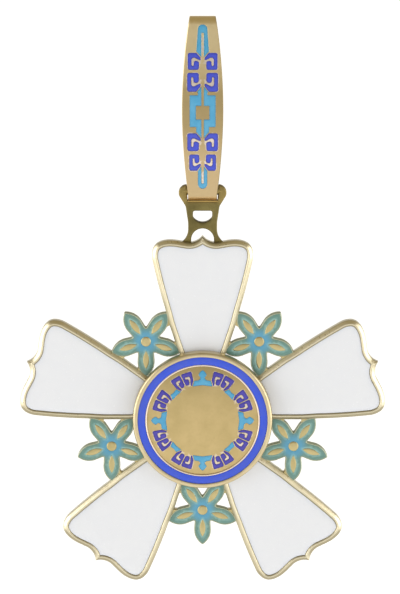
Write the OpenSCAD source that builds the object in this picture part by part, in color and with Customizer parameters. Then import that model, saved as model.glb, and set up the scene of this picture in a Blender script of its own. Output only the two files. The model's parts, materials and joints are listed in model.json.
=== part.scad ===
// Order neck badge, shown hanging from the place of its neck ribbon.
// The origin is inside the top bend of the ribbon loop, where the ribbon bears.
// +Z is up, +X is to the right of someone who faces the badge, and the front faces -Y.

/* [Star arms] */
// Distance from the centre of the star to the point of each arm
arm_len = 30.3; // [29:0.1:32]
// Widest width of an arm, between its rounded outer corners
arm_w = 16.5; // [15.5:0.1:17.5]
// Width of an arm where it comes out of the hub
arm_root_w = 7.85; // [7:0.05:8.5]
// Distance from the point of an arm back to where its sides reach the full width
knee_drop = 4.6; // [4.2:0.1:5.4]
// Radius of the rounded outer corners of an arm
corner_r = 2.4; // [1.8:0.1:2.8]
// Distance between the two hollows beside the point of an arm
tip_w = 4.4; // [3.8:0.1:5]
// Height of the point of an arm above the hollows beside it
tip_h = 1.1; // [0.8:0.05:1.3]
// Height of the rounded corners above the hollows
shoulder_h = 0.4; // [0.25:0.05:0.6]
// Width of the raised rim round the enamel of an arm
rim_w = 0.95; // [0.75:0.05:1.15]
// Thickness of the star at its rims
rim_t = 2.0; // [1.8:0.05:2.3]
// Thickness of the metal floor under the enamel of an arm
floor_t = 1.0; // [0.8:0.05:1.2]
// How far the white enamel lies below the crest of the rims
enamel_sink = 0.25; // [0.1:0.05:0.4]
// Height of the narrow crest on top of each rim
crest_h = 0.2; // [0.1:0.05:0.3]
// Width of rim left beside the crest on each side
crest_in = 0.2; // [0.1:0.05:0.28]

/* [Flowers] */
// Length of a petal from the centre of its flower
petal_len = 5.95; // [5.6:0.05:6.2]
// Widest width of a petal
petal_w = 2.8; // [2.4:0.05:3.1]
// Distance from the centre of a flower to the widest place of a petal
petal_mid = 3.4; // [3:0.05:3.6]
// Width of a petal at the centre of its flower
petal_root_w = 2.3; // [2:0.05:2.5]
// Thickness of a flower
flower_t = 1.5; // [1.35:0.05:1.7]
// Width of the gilt edge round the enamel of a flower
flower_edge = 0.17; // [0.12:0.01:0.25]
// Depth of the enamel in a flower
flower_cell = 0.35; // [0.2:0.05:0.45]
// Distance from the centre of a flower to the start of the gilt leaf in a petal
leaf_start = 1.6; // [1.4:0.05:1.7]
// Length of the gilt leaf in a petal
leaf_len = 2.95; // [2.7:0.05:3.2]
// Width of the gilt leaf in a petal
leaf_w = 0.95; // [0.8:0.05:1.2]
// Radius of the gilt dot in the middle of a flower
dot_r = 0.8; // [0.6:0.05:0.95]
// Length of the solder web that joins a petal to its arm
web_len = 1.6; // [1.2:0.1:2]
// How far the tips of two petals of each flower reach into the arms beside it
petal_sunk = 0.1; // [0.06:0.02:0.2]

/* [Medallion] */
// Radius of the medallion
med_r = 11.45; // [11.3:0.05:11.8]
// Width of the gilt rim of the medallion
med_rim_w = 0.8; // [0.7:0.05:1.1]
// Width of the slope on the outer edge of that rim
med_bevel = 0.4; // [0.2:0.05:0.6]
// Width of the blue enamel ring
ring_w = 1.25; // [1.1:0.05:1.35]
// Width of the thin gilt wire inside the blue ring
wire_w = 0.3; // [0.2:0.05:0.4]
// Height of the medallion's rim above the rims of the star
med_h = 1.9; // [1.6:0.05:2.4]
// How far the top of the thin wire lies below the rim
wire_drop = 0.1; // [0.05:0.05:0.2]
// How far the blue ring's enamel lies below the rim
ring_sink = 0.2; // [0.1:0.05:0.3]
// Depth of the blue ring's groove below the rim
ring_cell = 0.7; // [0.5:0.05:0.9]
// How far the edge of the gilt field lies below the rim
field_drop = 0.35; // [0.25:0.05:0.5]
// How far the gilt field is domed in its middle
dome_rise = 0.5; // [0.3:0.05:0.8]
// Depth of the enamel cells in the gilt field
field_cell = 0.35; // [0.2:0.05:0.5]
// Radius on which the ornament in the gilt field starts
orn_in = 6.0; // [5.8:0.05:6.3]
// Radius on which the ornament in the gilt field ends
orn_out = 8.47; // [8.2:0.05:8.6]
// Angle from an upright ornament to the first scroll beside it
scroll_near = 12.5; // [12:0.1:13.5]
// Angle that one scroll covers
scroll_deg = 12.5; // [11.5:0.1:12.8]
// Angle between the two scrolls of a pair
scroll_gap = 1.1; // [1:0.1:1.6]
// Radius of the star's hub under the medallion
hub_r = 10.9; // [10.7:0.05:11.1]
// Radius of the post that fixes the medallion through the hub
post_r = 2.0; // [1.5:0.1:2.5]
// Radius of the riveted head behind the hub
head_r = 3.2; // [2.9:0.1:4]
// Thickness of the riveted head
head_t = 0.7; // [0.5:0.05:1]

/* [Ribbon loop] */
// Height of the ribbon loop
loop_h = 29.85; // [28:0.05:31]
// Widest width of the ribbon loop, halfway down
loop_w = 6.62; // [6.4:0.02:6.8]
// Width of the ribbon loop at its top end
loop_top_w = 4.2; // [3.8:0.05:4.5]
// Width of the ribbon loop at its bottom end
loop_low_w = 4.4; // [4.2:0.05:4.8]
// How the lower half of the loop narrows: 1 for straight sides, 2 for as round as the upper half
low_taper = 1.8; // [1.2:0.05:1.9]
// Depth of the ribbon loop from front to back
loop_depth = 7; // [6.4:0.1:8]
// Thickness of the loop's band
band_t = 0.8; // [0.65:0.05:0.85]
// Outer radius of the bends at the top and bottom of the loop
end_r = 1.7; // [1.65:0.05:2]
// Depth of the enamel cells in the front of the loop
loop_cell = 0.35; // [0.2:0.05:0.45]
// Width of the gilt line that runs down the middle of the loop's enamel
loop_line_w = 0.36; // [0.3:0.01:0.45]

/* [Link] */
// Room between the link and the bottom bend of the loop, inside the bend and below it
link_play = 0.12; // [0.1:0.01:0.25]
// Room between the bottom end of the loop and each side of the link's eye
eye_play = 0.42; // [0.4:0.02:0.56]
// Width of the metal at each side of the eye
ear_w = 1.25; // [1:0.05:1.4]
// Radius of the round ears beside the eye
ear_r = 1.3; // [1.1:0.05:1.5]
// Height of the bar below the eye
eye_bar_h = 1.5; // [1.2:0.05:1.8]
// Width of the window below that bar
window_w = 3.1; // [2.9:0.05:3.4]
// Height of the window
window_h = 1.9; // [1.6:0.05:2.2]
// Height of the bar between the window and the arch at its narrowest
cross_bar_h = 1.0; // [0.7:0.05:1.3]
// Radius of the arch over the point of the top arm
arch_r = 1.85; // [1.7:0.05:2.05]
// Height of the straight sides of the arch below its round top
arch_leg_h = 0.55; // [0.2:0.05:0.7]
// Width of the link below its eye
neck_w = 5.5; // [5.2:0.05:5.8]
// Width of the link at its waist
waist_w = 4.7; // [4.4:0.05:4.9]
// Width of the link over its two feet
feet_w = 7.0; // [6.6:0.05:7.4]
// Thickness of the link from front to back
link_t = 1.5; // [1.3:0.05:1.7]

/* [Fits] */
// Distance of the star's back behind the hinge line, so that the badge hangs upright
back_y = 1.2; // [1:0.02:1.4]
// Room left round a piece of enamel in its cell
fit = 0.02; // [0.01:0.005:0.03]
// Room round the medallion's post
post_play = 0.05; // [0.03:0.01:0.1]
// Narrowest gilt wall between two pieces of enamel
wall = 0.12; // [0.1:0.01:0.15]

/* [Hidden] */
arm_count = 5;
arm_step = 360 / arm_count;
$fn = 180;
// How far a cut runs past the faces that it opens
past = 1;

// Colours of the gilt metal and of the enamels
gilt = [0.80, 0.68, 0.42];
white = [0.93, 0.93, 0.94];
leaf_green = [0.40, 0.66, 0.68];
deep_blue = [0.22, 0.31, 0.86];
violet = [0.27, 0.27, 0.72];
turquoise = [0.26, 0.64, 0.83];

// Where the middle of the loop, the hinge line and the star lie
loop_mid_z = band_t - loop_h / 2;
bend_z = loop_h / 2 - end_r;
hinge_z = loop_mid_z - bend_z;
pin_r = end_r - band_t - link_play;
eye_w = loop_low_w + 2 * eye_play;
eye_low = -end_r - link_play;
bar_low = eye_low - eye_bar_h;
window_low = bar_low - window_h;
link_low = window_low - cross_bar_h - arch_r - arch_leg_h;
valley_y = arm_len - tip_h;
star_z = hinge_z + link_low - valley_y;

// Circle of the loop's long bends in its side view, which touches the end bends
half_depth = loop_depth / 2;
long_rise = half_depth - end_r;
long_off = (bend_z * bend_z - long_rise * long_rise) / (2 * long_rise);
long_r = long_off + half_depth;
// Barrel outline of the loop, seen from the front: its half width at a height above its middle
barrel_steps = 10;
round_taper = 2;
function barrel_half(z) =
    let (end_w = z > 0 ? loop_top_w : loop_low_w, taper = z > 0 ? round_taper : low_taper)
    (loop_w - (loop_w - end_w) * pow(2 * abs(z) / loop_h, taper)) / 2;

// Circles of the hollows beside an arm's point and of its corners, and the line that touches both
tip_r = (tip_w * tip_w / 4 + tip_h * tip_h) / (2 * tip_h);
tip_c = [tip_w / 2, valley_y + tip_r];
corner_c = [arm_w / 2 - corner_r, valley_y + shoulder_h - corner_r];
edge_run = tip_c - corner_c;
edge_deg = atan2(edge_run[1], edge_run[0]) + asin((tip_r + corner_r) / norm(edge_run)) - 90;
edge_n = [cos(edge_deg), sin(edge_deg)];
arm_slope = (arm_w - arm_root_w) / 2 / (arm_len - knee_drop - hub_r);
arm_start = hub_r - rim_w;

// Heights above the back of the star
seat_h = rim_t + fit;
med_top = rim_t + med_h;
groove_r = med_r - med_rim_w;
wire_r = groove_r - ring_w;
field_r = wire_r - wire_w;
dome_r = (field_r * field_r + dome_rise * dome_rise) / (2 * dome_rise);
dome_c = med_top - field_drop + dome_rise - dome_r;

// Distance of the flowers from the centre of the star, where two petals of each reach into the arms
half_step = arm_step / 2;
side_reach = petal_len * (sin(half_step) + arm_slope * cos(half_step));
flower_dist = (arm_root_w / 2 - arm_slope * hub_r - petal_sunk + side_reach)
              / (sin(half_step) - arm_slope * cos(half_step));

// Circles of a petal's outer half and of the gilt leaf in it
petal_out = petal_len - petal_mid;
petal_r = (petal_out * petal_out + petal_w * petal_w / 4) / petal_w;
leaf_r = (leaf_len * leaf_len / 4 + leaf_w * leaf_w / 4) / leaf_w;

// One squared scroll, as shares of its width from its tail side and of its height
scroll_shape = [
    // across, out
    [0.00, 0.36], [0.00, 0.92], [0.08, 1.00], [0.92, 1.00], [1.00, 0.92],
    [1.00, 0.27], [0.92, 0.18], [0.57, 0.17], [0.49, 0.25], [0.46, 0.44],
    [0.52, 0.56], [0.76, 0.58], [0.77, 0.68], [0.70, 0.71], [0.38, 0.71],
    [0.29, 0.64], [0.28, 0.50], [0.42, 0.17], [0.41, 0.05], [0.30, 0.05]
];
across = 0;
out = 1;
tail_near = scroll_shape[0];
tail_far = scroll_shape[len(scroll_shape) - 1];

// Right half of the upright ornament above its foot, in degrees and shares of its height
upright_shape = [
    // degrees, out
    [5.2, 0.34], [3.2, 0.44], [3.0, 0.52], [5.2, 0.70], [2.6, 0.90], [0.0, 1.00]
];
// Top of the short bar between two pairs of scrolls, as a share of the ornament's height
short_bar_out = 0.28;

// Rows of scrolls on the loop, as shares of the loop's height and width
loop_rows = [
    // tail edge, middle edge, half width
    [0.190, 0.279, 0.362],
    [0.395, 0.295, 0.374],
    [0.619, 0.716, 0.372],
    [0.825, 0.735, 0.325]
];
row_tail = 0;
row_mid = 1;
row_half = 2;
// Turquoise bars between and beyond them, as shares of the loop's height and width
upper_bar = [0.067, 0.118, 0.156, 0.085];
lower_bar = [0.901, 0.114, 0.114, 0.897];
bar_round = 0;
bar_round_half = 1;
bar_row_half = 2;
bar_line = 3;
plate = [0.414, 0.585, 0.316];
square_hole = [0.471, 0.544, 0.161];
plate_top = 0;
plate_end = 1;
plate_half = 2;
// Half widths of the plate's upper and lower stems, as shares of the loop's width
neck_half = 0.116;
foot_half = 0.158;
line_half = loop_line_w / 2;

// Outlines
function reversed(p) = [for (i = [len(p) - 1 : -1 : 0]) p[i]];
function turn(p, i = 0) = i == len(p) ? 0 : cross(p[i], p[(i + 1) % len(p)]) + turn(p, i + 1);
function anticlockwise(p) = turn(p) < 0 ? reversed(p) : p;
// The points of one side, then those of the other that don't lie on the middle line
function both_sides(p) = concat(p, [for (q = reversed(p)) if (abs(q[0]) > 0) [-q[0], q[1]]]);
function normal(a, b) = [b[1] - a[1], a[0] - b[0]] / norm(b - a);
function polar(deg, r) = [r * sin(deg), r * cos(deg)];
round_steps = 5;
function quarter_round(c, r, way) =
    [for (i = [0 : round_steps]) c + polar(90 * (1 - i / round_steps), r) * [[1, 0], [0, way]]];

// The line of a scroll's tail moved one wall to its right, or to its left with a way of -1
function beside(a, b, way) = [for (q = [a, b]) q + way * wall * normal(a, b)];

// A closed anticlockwise outline with every side moved inwards by d
function shrink(p, d) = [for (i = [0 : len(p) - 1])
    let (n1 = normal(p[(i + len(p) - 1) % len(p)], p[i]),
         n2 = normal(p[i], p[(i + 1) % len(p)]))
    p[i] - d * (n1 + n2) / (1 + n1 * n2)];

module outline(p, inset) {
    polygon(shrink(anticlockwise(p), inset));
}

module slab(from, to) {
    translate([0, 0, from]) linear_extrude(to - from) children();
}

// The star is drawn flat, with its back at height 0 and an arm along +Y, and put up here
module star_place() {
    translate([0, back_y, star_z]) rotate([90, 0, 0]) children();
}

// Plan of one arm along +Y, with every edge moved inwards by inset
module arm_plan(inset) {
    rc = corner_r - inset;
    rt = tip_r + inset;
    half = arm_w / 2 - inset;
    root_half = arm_root_w / 2 - inset * sqrt(1 + arm_slope * arm_slope);
    edge_end = tip_c - rt * edge_n;
    neck_y = edge_end[1] - rim_w;
    for (side = [0, 1]) mirror([side, 0]) {
        polygon([[0, arm_start], [root_half - arm_slope * (hub_r - arm_start), arm_start],
                 [half, hub_r + (half - root_half) / arm_slope], [half, corner_c[1]], corner_c,
                 corner_c + rc * edge_n, edge_end, [edge_end[0], neck_y], [0, neck_y]]);
        translate(corner_c) circle(rc);
    }
    difference() {
        polygon(both_sides([[edge_end[0], neck_y], [edge_end[0], neck_y + rim_w + 2 * tip_h]]));
        for (side = [-1, 1]) translate([side * tip_c[0], tip_c[1]]) circle(rt);
    }
}

module arm_plans(inset) {
    for (i = [0 : arm_count - 1]) rotate(-i * arm_step) arm_plan(inset);
}

// Plan of one petal along +Y from the centre of its flower
module petal_plan(inset) {
    half = petal_w / 2 - inset;
    root = petal_root_w / 2 - inset;
    polygon([[-root, 0], [root, 0], [half, petal_mid], [-half, petal_mid]]);
    intersection() {
        translate([-half, petal_mid]) square([2 * half, petal_out]);
        translate([petal_r - petal_w / 2, petal_mid]) circle(petal_r - inset);
        translate([petal_w / 2 - petal_r, petal_mid]) circle(petal_r - inset);
    }
}

module leaf_plan(outset) {
    translate([0, leaf_start + leaf_len / 2]) intersection() {
        translate([leaf_r - leaf_w / 2, 0]) circle(leaf_r + outset);
        translate([leaf_w / 2 - leaf_r, 0]) circle(leaf_r + outset);
    }
}

module round_flower() {
    for (i = [0 : arm_count - 1]) rotate(i * arm_step) children();
}

// Plan of a flower's enamel, which stays clear of the arms and of the hub
module flower_cells(inset) {
    difference() {
        round_flower() petal_plan(flower_edge + inset);
        circle(dot_r + inset);
        round_flower() leaf_plan(inset);
        translate([0, -flower_dist]) {
            circle(hub_r + wall + inset);
            for (side = [-1, 1]) rotate(side * half_step) arm_plan(-wall - inset);
        }
    }
}

// Solder webs between the four side petals of a flower and the two arms beside it
module webs() {
    side_deg = half_step - atan(arm_slope);
    along = web_len * [sin(side_deg), cos(side_deg)];
    sunk = [rim_w / 2, 0];
    for (side = [0, 1]) mirror([side, 0]) for (k = [1, 2]) {
        petal = [sin(k * arm_step), cos(k * arm_step)];
        tip = petal * petal_len;
        far = k == 1 ? tip - along : tip + along;
        polygon([tip - petal * web_len, tip, tip + sunk, far + sunk]);
    }
}

module flower_place(i) {
    rotate(-(i + 0.5) * arm_step) translate([0, flower_dist]) children();
}

module flower_metal() {
    difference() {
        slab(0, flower_t) {
            round_flower() petal_plan(0);
            webs();
        }
        slab(flower_t - flower_cell, flower_t + past) flower_cells(0);
    }
}

module arm_metal() {
    slab(0, floor_t) {
        arm_plans(0);
        circle(hub_r);
    }
    slab(floor_t, rim_t - crest_h) {
        circle(hub_r);
        difference() {
            arm_plans(0);
            arm_plans(rim_w);
        }
    }
    slab(rim_t - crest_h, rim_t) {
        circle(hub_r);
        difference() {
            arm_plans(crest_in);
            arm_plans(rim_w - crest_in);
        }
    }
}

// Plan of the link, with the hinge line at the origin
module link_plan() {
    ear_half = eye_w / 2 + ear_w;
    ear_c = [ear_half - ear_r, -pin_r / 2];
    ear_turn = 40;
    sunk = rim_w / 2;
    foot_run = (feet_w - waist_w) / 2;
    foot_rise = arch_r + arch_leg_h / 2;
    foot_r = (foot_run * foot_run + foot_rise * foot_rise) / (2 * foot_run);
    difference() {
        union() {
            for (side = [-1, 1]) translate([side * ear_c[0], ear_c[1]]) circle(ear_r);
            polygon(both_sides([[waist_w / 2, link_low + foot_rise], [waist_w / 2, window_low],
                                [neck_w / 2, (eye_low + bar_low) / 2],
                                ear_c + ear_r * [cos(ear_turn), -sin(ear_turn)]]));
            translate([-feet_w / 2, link_low - sunk]) square([feet_w, foot_rise + sunk]);
        }
        translate([-eye_w / 2, eye_low]) square([eye_w, end_r + ear_r + link_play]);
        intersection() {
            translate([-window_w / 2, window_low]) square([window_w, window_h]);
            translate([0, window_low + arch_r]) circle(arch_r);
        }
        translate([0, link_low + arch_leg_h]) circle(arch_r);
        translate([-arch_r, link_low - sunk - past]) square([2 * arch_r, arch_leg_h + sunk + past]);
        for (side = [-1, 1]) translate([side * (waist_w / 2 + foot_r), link_low + foot_rise])
            circle(foot_r);
    }
}

module link() {
    pin_half = eye_w / 2 + ear_w / 2;
    translate([0, link_t / 2, hinge_z]) rotate([90, 0, 0]) linear_extrude(link_t) link_plan();
    translate([-pin_half, 0, hinge_z]) rotate([0, 90, 0]) cylinder(r = pin_r, h = 2 * pin_half);
}

module star_frame() {
    color(gilt) {
        star_place() difference() {
            union() {
                arm_metal();
                for (i = [0 : arm_count - 1]) flower_place(i) flower_metal();
            }
            slab(-past, rim_t + past) circle(post_r + post_play);
        }
        link();
    }
}

module arm_enamel(i) {
    color(white) star_place() rotate(-(i - 1) * arm_step) slab(floor_t + fit, rim_t - enamel_sink)
        difference() {
            arm_plan(rim_w + fit);
            circle(hub_r + fit);
        }
}

module flower_enamel(i) {
    color(leaf_green) star_place() flower_place(i - 1)
        slab(flower_t - flower_cell + fit, flower_t) flower_cells(fit);
}

// Ornament of the gilt field: four quarters, each with two mirrored halves
function orn_r(share) = orn_in + share * (orn_out - orn_in);
function scroll_outline(near) = [for (q = scroll_shape)
    polar(near + q[across] * scroll_deg, orn_r(q[out]))];
// Foot that fills the room up to the tail of the scroll whose near edge is given
function foot_outline(near) =
    let (p = [for (q = [tail_near, tail_far]) polar(near + q[across] * scroll_deg, orn_r(q[out]))],
         edge = beside(p[0], p[1], 1),
         k = (norm(edge[0]) - orn_in) / (norm(edge[0]) - norm(edge[1])))
    [polar(0, orn_in), edge[0] + k * (edge[1] - edge[0]), edge[0]];

module quarters() {
    for (i = [0 : 3]) rotate(i * 90) children();
}

module scroll_cells(inset) {
    pair_end = scroll_near + 2 * scroll_deg + scroll_gap;
    quarters() for (side = [0, 1]) mirror([side, 0]) {
        outline(scroll_outline(scroll_near), inset);
        rotate(-pair_end) mirror([1, 0]) outline(scroll_outline(0), inset);
    }
}

module ornament_cells(inset) {
    upright = [for (q = upright_shape) polar(q[0], orn_r(q[1]))];
    bar_near = 45 - scroll_near - 2 * scroll_deg - scroll_gap;
    bar_mid = polar(0, orn_r(short_bar_out));
    quarters() {
        outline(both_sides(concat(foot_outline(scroll_near), upright)), inset);
        rotate(45) outline(both_sides(concat(foot_outline(bar_near), [bar_mid])), inset);
    }
}

module dome_ball(deeper) {
    translate([0, 0, dome_c]) sphere(r = dome_r - deeper);
}

module medallion() {
    low = -fit - head_t;
    color(gilt) star_place() difference() {
        rotate_extrude() {
            polygon([[0, low], [head_r, low], [head_r, -fit], [post_r, -fit], [post_r, seat_h],
                     [med_r, seat_h], [med_r, med_top - med_bevel], [med_r - med_bevel, med_top],
                     [groove_r, med_top], [groove_r, med_top - ring_cell],
                     [wire_r, med_top - ring_cell], [wire_r, med_top - wire_drop],
                     [field_r, med_top - wire_drop], [field_r, med_top - ring_cell],
                     [0, med_top - ring_cell]]);
            intersection() {
                translate([0, med_top - ring_cell]) square([field_r, ring_cell + dome_rise]);
                translate([0, dome_c]) circle(dome_r);
            }
        }
        difference() {
            slab(med_top - ring_cell, med_top + dome_rise) {
                scroll_cells(0);
                ornament_cells(0);
            }
            dome_ball(field_cell);
        }
    }
}

module ring_enamel() {
    color(deep_blue) star_place() slab(med_top - ring_cell + fit, med_top - ring_sink)
        difference() {
            circle(groove_r - fit);
            circle(wire_r + fit);
        }
}

// Enamel that fills cells of the gilt field up to its domed surface
module field_enamel() {
    star_place() difference() {
        intersection() {
            slab(med_top - ring_cell, med_top + dome_rise) children();
            dome_ball(0);
        }
        dome_ball(field_cell - fit);
    }
}

module field_scrolls() {
    color(violet) field_enamel() scroll_cells(fit);
}

module field_ornaments() {
    color(turquoise) field_enamel() ornament_cells(fit);
}

// Side view of the loop, in depth and height, moved inwards by inset
module side_plan(inset) {
    touch_z = bend_z + (end_r - inset) * bend_z / (long_r - end_r);
    for (way = [-1, 1]) translate([0, way * bend_z]) circle(end_r - inset);
    intersection() {
        translate([-half_depth, -touch_z]) square([loop_depth, 2 * touch_z]);
        translate([long_off, 0]) circle(long_r - inset);
        translate([-long_off, 0]) circle(long_r - inset);
    }
}

module side_prism(inset) {
    translate([-loop_w, 0, loop_mid_z]) rotate([90, 0, 90]) linear_extrude(2 * loop_w)
        side_plan(inset);
}

// Prism through the front half of the loop
module front_prism() {
    rotate([90, 0, 0]) linear_extrude(loop_depth) children();
}

function down(share) = band_t - share * loop_h;
function loop_scroll(row) = [for (q = scroll_shape)
    [line_half + q[out] * (row[row_half] * loop_w - line_half),
     down(row[row_tail] + q[across] * (row[row_mid] - row[row_tail]))]];

// Where a turquoise bar runs in between the tails of the two scrolls of a row
function between_tails(row) =
    let (p = loop_scroll(row), edge = beside(p[0], p[len(p) - 1], sign(row[row_mid] - row[row_tail])),
         k = (edge[0][0] - line_half) / (edge[0][0] - edge[1][0]))
    [edge[0] + k * (edge[1] - edge[0]), edge[0]];

// A bar with one round end, open at the other for the gilt line along its middle
function bar_outline(bar, row, way) =
    let (ends = between_tails(row), r = bar[bar_round_half] * loop_w,
         row_y = down(row[row_tail]) + way * wall,
         side = concat([[line_half, down(bar[bar_line])]], ends,
                       [[ends[1][0], row_y], [bar[bar_row_half] * loop_w, row_y]],
                       quarter_round([0, down(bar[bar_round])], r, way)))
    both_sides(side);

function plate_outline() =
    let (upper = between_tails(loop_rows[1]), lower = between_tails(loop_rows[2]),
         upper_y = down(loop_rows[1][row_tail]) - wall,
         lower_y = down(loop_rows[2][row_tail]) + wall)
    concat(upper,
           [[upper[1][0], upper_y], [neck_half * loop_w, upper_y],
            [neck_half * loop_w, down(plate[plate_top])],
            [plate[plate_half] * loop_w, down(plate[plate_top])],
            [plate[plate_half] * loop_w, down(plate[plate_end])],
            [foot_half * loop_w, down(plate[plate_end])],
            [foot_half * loop_w, lower_y], [lower[1][0], lower_y]],
           reversed(lower),
           [[line_half, down(square_hole[plate_end])],
            [square_hole[plate_half] * loop_w, down(square_hole[plate_end])],
            [square_hole[plate_half] * loop_w, down(square_hole[plate_top])],
            [line_half, down(square_hole[plate_top])]]);

module loop_scroll_cells(inset) {
    for (side = [0, 1]) mirror([side, 0]) for (row = loop_rows) outline(loop_scroll(row), inset);
}

module loop_bar_cells(inset) {
    outline(bar_outline(upper_bar, loop_rows[0], 1), inset);
    outline(bar_outline(lower_bar, loop_rows[3], -1), inset);
    for (side = [0, 1]) mirror([side, 0]) outline(plate_outline(), inset);
}

// Front view of the loop
module barrel_plan() {
    polygon(both_sides([for (i = [-barrel_steps : barrel_steps])
        let (z = i / barrel_steps * loop_h / 2) [barrel_half(z), z]]));
}

module ribbon_loop() {
    color(gilt) difference() {
        intersection() {
            side_prism(0);
            translate([0, loop_depth, loop_mid_z]) rotate([90, 0, 0])
                linear_extrude(2 * loop_depth) barrel_plan();
        }
        side_prism(band_t);
        difference() {
            front_prism() {
                loop_scroll_cells(0);
                loop_bar_cells(0);
            }
            side_prism(loop_cell);
        }
    }
}

// Enamel that fills cells of the loop's front up to its bowed surface
module loop_enamel() {
    difference() {
        intersection() {
            front_prism() children();
            side_prism(0);
        }
        side_prism(loop_cell - fit);
    }
}

module loop_scrolls() {
    color(violet) loop_enamel() loop_scroll_cells(fit);
}

module loop_bars() {
    color(turquoise) loop_enamel() loop_bar_cells(fit);
}

star_frame();
arm_enamel(1);  // arm_enamel_1
arm_enamel(2);  // arm_enamel_2
arm_enamel(3);  // arm_enamel_3
arm_enamel(4);  // arm_enamel_4
arm_enamel(5);  // arm_enamel_5
flower_enamel(1);  // flower_enamel_1
flower_enamel(2);  // flower_enamel_2
flower_enamel(3);  // flower_enamel_3
flower_enamel(4);  // flower_enamel_4
flower_enamel(5);  // flower_enamel_5
medallion();
ring_enamel();
field_scrolls();
field_ornaments();
ribbon_loop();
loop_scrolls();
loop_bars();
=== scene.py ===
# Looks of an order neck badge: a gilt and enamelled star on its link and ribbon loop.
# Plans are drawn in millimetres, facing the viewer, and put in place in metres at the end.
import json
import bpy
import bmesh
from math import acos, asin, atan2, ceil, cos, degrees, exp, pi, radians, sin, sqrt, tan
from mathutils import Matrix, Vector
from mathutils.geometry import convex_hull_2d, delaunay_2d_cdt
from mathutils.kdtree import KDTree


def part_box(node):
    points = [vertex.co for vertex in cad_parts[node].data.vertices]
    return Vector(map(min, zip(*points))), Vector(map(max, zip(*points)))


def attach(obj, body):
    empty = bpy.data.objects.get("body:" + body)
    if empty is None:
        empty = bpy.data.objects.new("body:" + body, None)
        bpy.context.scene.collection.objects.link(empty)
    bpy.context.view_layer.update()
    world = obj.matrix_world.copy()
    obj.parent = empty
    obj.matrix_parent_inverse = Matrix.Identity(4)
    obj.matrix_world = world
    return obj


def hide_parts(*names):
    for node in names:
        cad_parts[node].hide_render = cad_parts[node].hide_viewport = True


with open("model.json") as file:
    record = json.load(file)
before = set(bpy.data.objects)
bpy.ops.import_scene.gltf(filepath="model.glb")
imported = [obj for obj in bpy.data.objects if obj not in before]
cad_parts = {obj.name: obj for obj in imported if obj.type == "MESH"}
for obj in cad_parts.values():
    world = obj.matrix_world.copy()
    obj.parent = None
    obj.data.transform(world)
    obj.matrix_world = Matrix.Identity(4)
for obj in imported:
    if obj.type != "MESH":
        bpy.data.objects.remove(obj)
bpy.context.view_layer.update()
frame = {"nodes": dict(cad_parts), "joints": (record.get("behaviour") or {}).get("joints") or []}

mm = 0.001
scene = bpy.context.scene
print("frame loaded:", len(frame["nodes"]), "nodes")


# Places read from the frame

def nodeBox(name):
    return [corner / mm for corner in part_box(name)]


def middleHeight(name):
    return sum(corner.z for corner in nodeBox(name)) / 2


starZ = middleHeight("ring_enamel")
loopZ = middleHeight("ribbon_loop")
starBack = nodeBox("star_frame")[1].y
hingeZ = frame["joints"][0]["pos_m"][2] / mm
armCount = 5
armStep = 360 / armCount


def standing(back, height):  # stands a flat plan upright, its own heights towards the viewer
    turn = Matrix.Rotation(pi / 2, 4, "X")
    return Matrix.Translation((0, back * mm, height * mm)) @ turn @ Matrix.Scale(mm, 4)


starPlace = standing(starBack, starZ)
linkPlace = standing(0, hingeZ)
loopPlace = Matrix.Translation((0, 0, loopZ * mm)) @ Matrix.Scale(mm, 4)


# Outlines: closed lists of plan points, anticlockwise, with the metal on the left

def vectors(*pairs):
    return [Vector(pair) for pair in pairs]


def sides(points):  # each side of a closed outline, as its two ends
    return zip(points, points[1:] + points[:1])


def neighbours(points):  # each point of a closed outline between the one before and the one after
    return zip(points[-1:] + points[:-1], points, points[1:] + points[:1])


def polar(angle, radius):  # clockwise from the top
    return Vector((radius * sin(radians(angle)), radius * cos(radians(angle))))


def arc(centre, radius, start, end, steps):  # degrees anticlockwise from the right
    angles = [radians(start + (end - start) * i / steps) for i in range(steps + 1)]
    return [Vector((centre[0] + radius * cos(a), centre[1] + radius * sin(a))) for a in angles]


def circle(radius, steps):
    return arc((0, 0), radius, 0, 360, steps)[:-1]


def turned(points, angle):
    c, s = cos(radians(angle)), sin(radians(angle))
    return [Vector((p.x * c - p.y * s, p.x * s + p.y * c)) for p in points]


def mirrored(points):
    return [Vector((-p.x, p.y)) for p in reversed(points)]


def anticlockwise(points):
    doubleArea = sum(a.x * b.y - a.y * b.x for a, b in sides(points))
    return points if doubleArea > 0 else points[::-1]


def curveThrough(points, steps):  # a smooth open curve through a few points
    ends = [2 * points[0] - points[1]] + points + [2 * points[-1] - points[-2]]
    made = []
    for a, b, c, d in zip(ends, ends[1:], ends[2:], ends[3:]):
        for i in range(steps):
            t = i / steps
            made.append(0.5 * (2 * b + (c - a) * t + (2 * a - 5 * b + 4 * c - d) * t * t
                               + (3 * b - a - 3 * c + d) * t * t * t))
    return made + [points[-1]]


cornerShare = 0.42  # most of a side that the rounding of one corner takes
sharpestCorner = 0.35  # keeps the inset of a sharp corner from running far out


def softened(points, radius, steps=3):  # rounds every corner of a closed outline
    made = []
    for a, b, c in neighbours(points):
        reach = min(radius, (a - b).length * cornerShare, (c - b).length * cornerShare)
        start, end = b + (a - b).normalized() * reach, b + (c - b).normalized() * reach
        for i in range(steps + 1):
            t = i / steps
            made.append(start * (1 - t) ** 2 + b * 2 * t * (1 - t) + end * t * t)
    return made


def dense(points, step):
    made = []
    for a, b in sides(points):
        count = max(1, ceil((b - a).length / step - 0.01))
        made += [a.lerp(b, i / count) for i in range(count)]
    return made


def inset(points, distance):  # every side of a closed outline moved inwards
    made = []
    for a, b, c in neighbours(points):
        n1 = Vector((a.y - b.y, b.x - a.x)).normalized()
        n2 = Vector((b.y - c.y, c.x - b.x)).normalized()
        made.append(b + distance * (n1 + n2) / max(1 + n1.dot(n2), sharpestCorner))
    return made


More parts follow.
